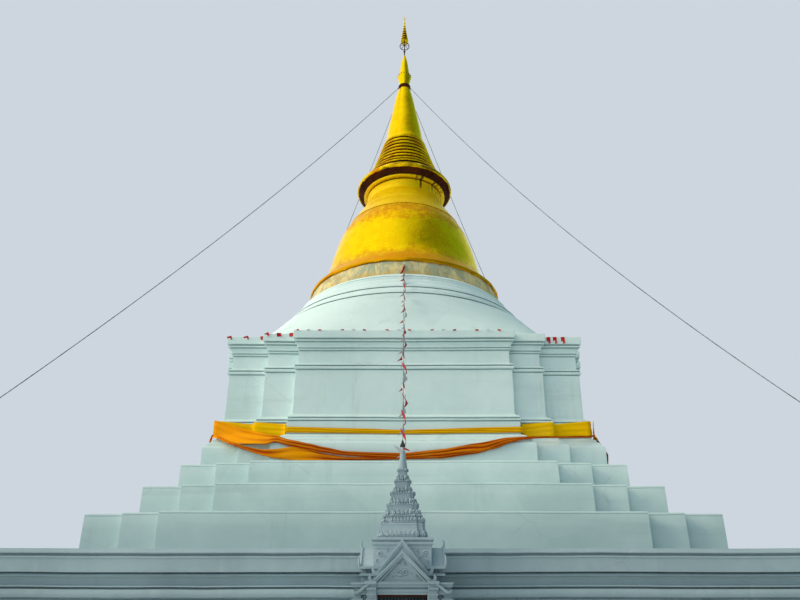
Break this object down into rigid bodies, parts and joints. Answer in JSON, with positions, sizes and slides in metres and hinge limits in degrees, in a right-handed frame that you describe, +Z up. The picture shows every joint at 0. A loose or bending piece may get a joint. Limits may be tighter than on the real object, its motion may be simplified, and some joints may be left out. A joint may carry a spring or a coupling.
{
  "type": "stupa",
  "caption": "Whitewashed stupa with a redented body, gilded bell and ringed spire on a stepped base, held by wire stays, with a small spired gate niche.",
  "frame": {"origin": "on the ground, at the centre of the square terrace, under the spire's tip", "axes": "+Z up, -Y towards the front, where the small gate stands, +X to the right seen from the front"},
  "size_m": [27.4, 29.045, 33.03],
  "materials": {
    "whitewash": "whitewashed plaster with faint mint and grey stains and hairline cracks",
    "grey_whitewash": "older, greyer whitewash on the terrace and the gate",
    "gold": "gold leaf and gold paint, patchy, with ochre stains",
    "worn_gold": "gilding worn through to the plaster",
    "dark_paint": "dark maroon paint, matt",
    "iron": "black painted ironwork",
    "steel_wire": "weathered steel rope",
    "yellow_fabric": "thin yellow cloth, creased",
    "orange_fabric": "thin orange cloth, folded",
    "string": "thin braided string",
    "flag_red": "thin red cloth",
    "flag_white": "thin white cloth, greyed by weather"
  },
  "bodies": {
    "stupa": {"terrace_wall": "grey_whitewash", "terrace_cornice": "grey_whitewash", "lower_step": "whitewash", "middle_step": "whitewash", "upper_step": "whitewash", "sloping_shoulder": "whitewash", "body_plinth": "whitewash", "body_base_moulding": "whitewash", "body_wall": "whitewash", "string_course": "whitewash", "body_frieze": "whitewash", "body_cornice": "whitewash", "flared_roof": "whitewash", "drum_mouldings": "whitewash", "gilded_band": "worn_gold", "bell": "gold", "bell_shoulder": "gold", "neck": "gold", "disc_soffit": "dark_paint", "disc": "gold", "ringed_cone": "gold", "smooth_cone": "gold", "stay_collar": "dark_paint", "spire_bulb": "gold", "upper_cone": "gold", "finial_mast": "iron", "tiered_umbrella": "gold", "spire_vane": "gold", "gate_left_pier": "grey_whitewash", "gate_right_pier": "grey_whitewash", "gate_sill": "grey_whitewash", "gate_back_wall": "grey_whitewash", "gate_lintel": "grey_whitewash", "gate_gables": "grey_whitewash", "gate_left_wing": "grey_whitewash", "gate_right_wing": "grey_whitewash", "gate_attic": "grey_whitewash", "gate_spire_tiers": "grey_whitewash", "gate_spire_tip": "grey_whitewash", "stay_anchor_front_left": "grey_whitewash", "stay_anchor_front_right": "grey_whitewash", "stay_anchor_rear_left": "grey_whitewash", "stay_anchor_rear_right": "grey_whitewash", "stay_front_left": "steel_wire", "stay_front_right": "steel_wire", "stay_rear_left": "steel_wire", "stay_rear_right": "steel_wire", "yellow_cloth": "yellow_fabric", "orange_cloth": "orange_fabric", "flag_line": "string"},
    "left_leaf": {"gate_left_leaf": "iron"},
    "right_leaf": {"gate_right_leaf": "iron"}
  },
  "joints": [
    {"name": "left_leaf_hinge", "type": "hinge", "parent": "stupa", "child": "left_leaf", "pos_m": [-0.452, -15.08, 0.96], "axis": [0, 0, 1], "range_deg": [0, 90]},
    {"name": "right_leaf_hinge", "type": "hinge", "parent": "stupa", "child": "right_leaf", "pos_m": [0.452, -15.08, 0.96], "axis": [0, 0, -1], "range_deg": [0, 90]}
  ]
}
